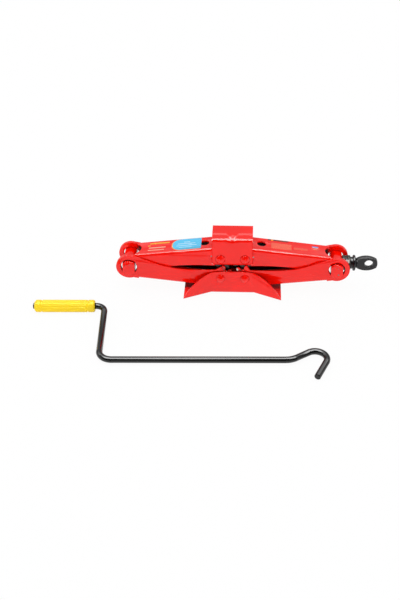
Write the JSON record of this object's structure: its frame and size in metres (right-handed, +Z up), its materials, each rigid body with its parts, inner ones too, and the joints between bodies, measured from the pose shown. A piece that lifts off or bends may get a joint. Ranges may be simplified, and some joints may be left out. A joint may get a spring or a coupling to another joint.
{
  "type": "screw driven scissor jack",
  "caption": "Lowered scissor jack of red pressed channels with geared arm ends, a lead screw with a hooking eye, and a loose black crank handle with a yellow grip.",
  "frame": {"origin": "middle of the base's underside, on the floor", "axes": "+X along the lead screw towards its eye, +Z up, the crank handle lies on the -Y side"},
  "size_m": [0.5012, 0.2667, 0.0922],
  "materials": {
    "red_paint": "glossy",
    "bare_steel": "satin, lightly oiled",
    "black_paint": "glossy",
    "dark_steel": "satin",
    "yellow_plastic": "glossy"
  },
  "bodies": {
    "base": {"base_channel": "red_paint", "base_rivet_left": "red_paint", "base_rivet_right": "red_paint"},
    "lower_left": {"lower_arm_left": "red_paint"},
    "lower_right": {"lower_arm_right": "red_paint"},
    "upper_left": {"upper_arm_left": "red_paint"},
    "upper_right": {"upper_arm_right": "red_paint"},
    "saddle": {"saddle": "red_paint", "saddle_rivet_left": "red_paint", "saddle_rivet_right": "red_paint"},
    "nut": {"trunnion_nut": "red_paint"},
    "bearing_block": {"trunnion_block": "red_paint", "bearing_ring_fixed": "dark_steel"},
    "screw": {"lead_screw": "bare_steel", "bearing_ring_turning": "dark_steel", "thrust_collar": "black_paint", "screw_eye": "dark_steel"},
    "cage": {"bearing_cage": "dark_steel", "bearing_balls": "bare_steel"},
    "crank": {"crank_rod": "black_paint"},
    "grip": {"crank_grip": "yellow_plastic"}
  },
  "joints": [
    {"name": "lift", "type": "hinge", "parent": "base", "child": "lower_left", "pos_m": [-0.018, 0, 0.0259], "axis": [0, 1, 0], "range_deg": [0, 61]},
    {"name": "lower_right_swing", "type": "hinge", "parent": "base", "child": "lower_right", "pos_m": [0.018, 0, 0.0259], "axis": [0, 1, 0], "range_deg": [-61, 0]},
    {"name": "upper_left_swing", "type": "hinge", "parent": "lower_left", "child": "upper_left", "pos_m": [-0.15307, 0, 0.04177], "axis": [0, 1, 0], "range_deg": [-122, 0]},
    {"name": "upper_right_swing", "type": "hinge", "parent": "lower_right", "child": "upper_right", "pos_m": [0.15307, 0, 0.04177], "axis": [0, 1, 0], "range_deg": [0, 122]},
    {"name": "saddle_level", "type": "hinge", "parent": "upper_left", "child": "saddle", "pos_m": [-0.018, 0, 0.05763], "axis": [0, 1, 0], "range_deg": [0, 61]},
    {"name": "nut_level", "type": "hinge", "parent": "lower_left", "child": "nut", "pos_m": [-0.15307, 0, 0.04177], "axis": [0, 1, 0], "range_deg": [-61, 0]},
    {"name": "block_level", "type": "hinge", "parent": "lower_right", "child": "bearing_block", "pos_m": [0.15307, 0, 0.04177], "axis": [0, 1, 0], "range_deg": [0, 61]},
    {"name": "screw_turn", "type": "hinge", "parent": "bearing_block", "child": "screw", "pos_m": [0.15307, 0, 0.04177], "axis": [1, 0, 0], "continuous": true},
    {"name": "cage_turn", "type": "hinge", "parent": "bearing_block", "child": "cage", "pos_m": [0.15307, 0, 0.04177], "axis": [1, 0, 0], "continuous": true},
    {"name": "crank_lift_off", "type": "slide", "parent": "base", "child": "crank", "axis": [0, 0, 1], "range_m": [0, 0.3]},
    {"name": "grip_spin", "type": "hinge", "parent": "crank", "child": "grip", "pos_m": [-0.2844, -0.078, 0.009], "axis": [0.9997, 0.0262, 0], "continuous": true}
  ],
  "couplings": [
    {"joint": "lower_right_swing", "follows": "lift", "ratio": -1},
    {"joint": "upper_left_swing", "follows": "lift", "ratio": -2},
    {"joint": "upper_right_swing", "follows": "lift", "ratio": 2},
    {"joint": "saddle_level", "follows": "lift", "ratio": 1},
    {"joint": "nut_level", "follows": "lift", "ratio": -1},
    {"joint": "block_level", "follows": "lift", "ratio": 1},
    {"joint": "cage_turn", "follows": "screw_turn", "ratio": 0.5}
  ]
}
